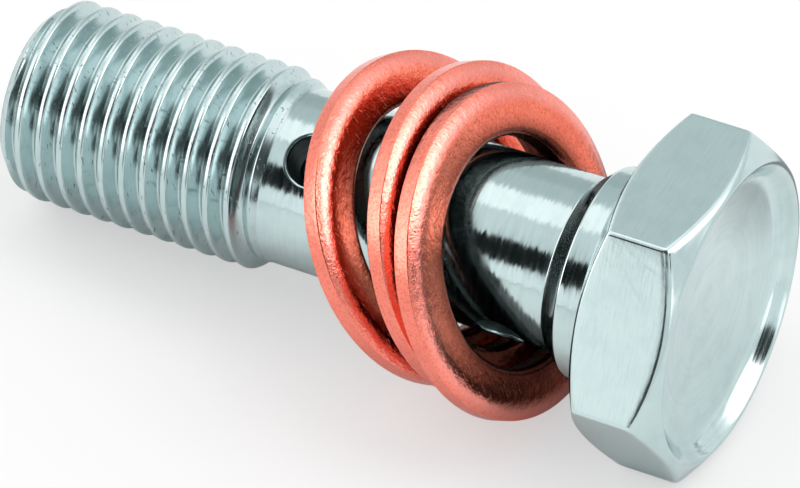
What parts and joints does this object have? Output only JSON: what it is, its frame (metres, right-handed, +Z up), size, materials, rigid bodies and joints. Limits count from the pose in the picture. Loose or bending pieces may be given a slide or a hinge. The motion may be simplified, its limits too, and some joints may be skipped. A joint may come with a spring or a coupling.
{
  "type": "banjo bolt",
  "caption": "Double banjo bolt with a dished hex head, a cross-drilled shank and loose copper sealing washers, for clamping and feeding banjo hose fittings.",
  "frame": {"origin": "on the ground, under the middle of the part's box, with the bolt lying on its side", "axes": "+X runs along the bolt from the thread to the head, +Z up, and -Y is the side that the thread's cross hole faces"},
  "size_m": [0.0422, 0.0196, 0.0175],
  "materials": {
    "plated_steel": "bright teal-tinted zinc plating, polished, with handling marks",
    "copper": "bare copper, bright and lightly scratched"
  },
  "bodies": {
    "root": {"banjo_bolt": "plated_steel", "thread_side_washer": "copper", "middle_washer": "copper", "head_side_washer": "copper"}
  },
  "joints": []
}
